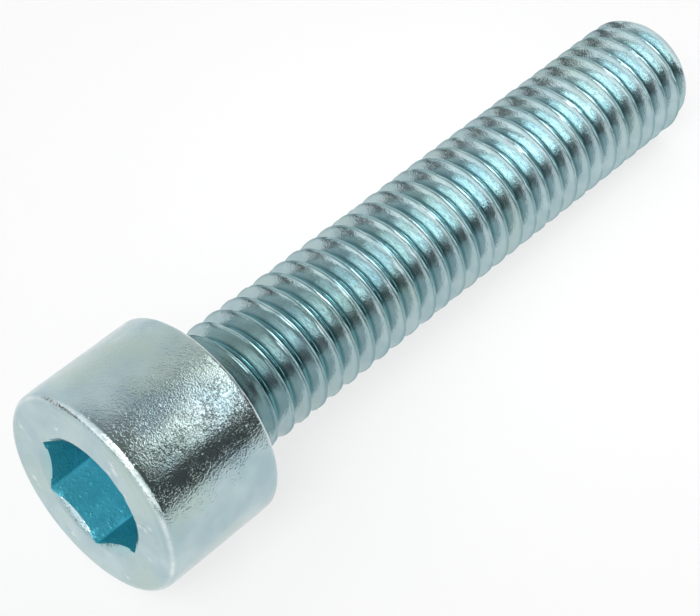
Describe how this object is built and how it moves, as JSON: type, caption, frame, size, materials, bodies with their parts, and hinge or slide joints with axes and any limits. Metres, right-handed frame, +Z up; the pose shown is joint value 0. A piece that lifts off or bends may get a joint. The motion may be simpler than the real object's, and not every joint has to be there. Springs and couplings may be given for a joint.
{
  "type": "socket-head cap screw",
  "caption": "Cylindrical-head machine screw with a hexagon socket and a right-hand metric thread running up to the head, in bright zinc-plated steel; clamps parts together in a tapped hole",
  "frame": {"origin": "centre of the bounding box's underside, on the surface the screw lies on", "axes": "+X runs along the screw as it lies, from the head to the tip; +Z is up; +Y completes the right-handed frame. The screw's own axis dips 3.38 degrees towards the tip, because it rests on the edge of its head and on the crests near its tip"},
  "size_m": [0.0372, 0.0096, 0.0099],
  "materials": {
    "zinc_plate": "bright zinc plate with a blue passivate, lightly mottled and scuffed"
  },
  "bodies": {
    "root": {"cap_screw": "zinc_plate"}
  },
  "joints": []
}
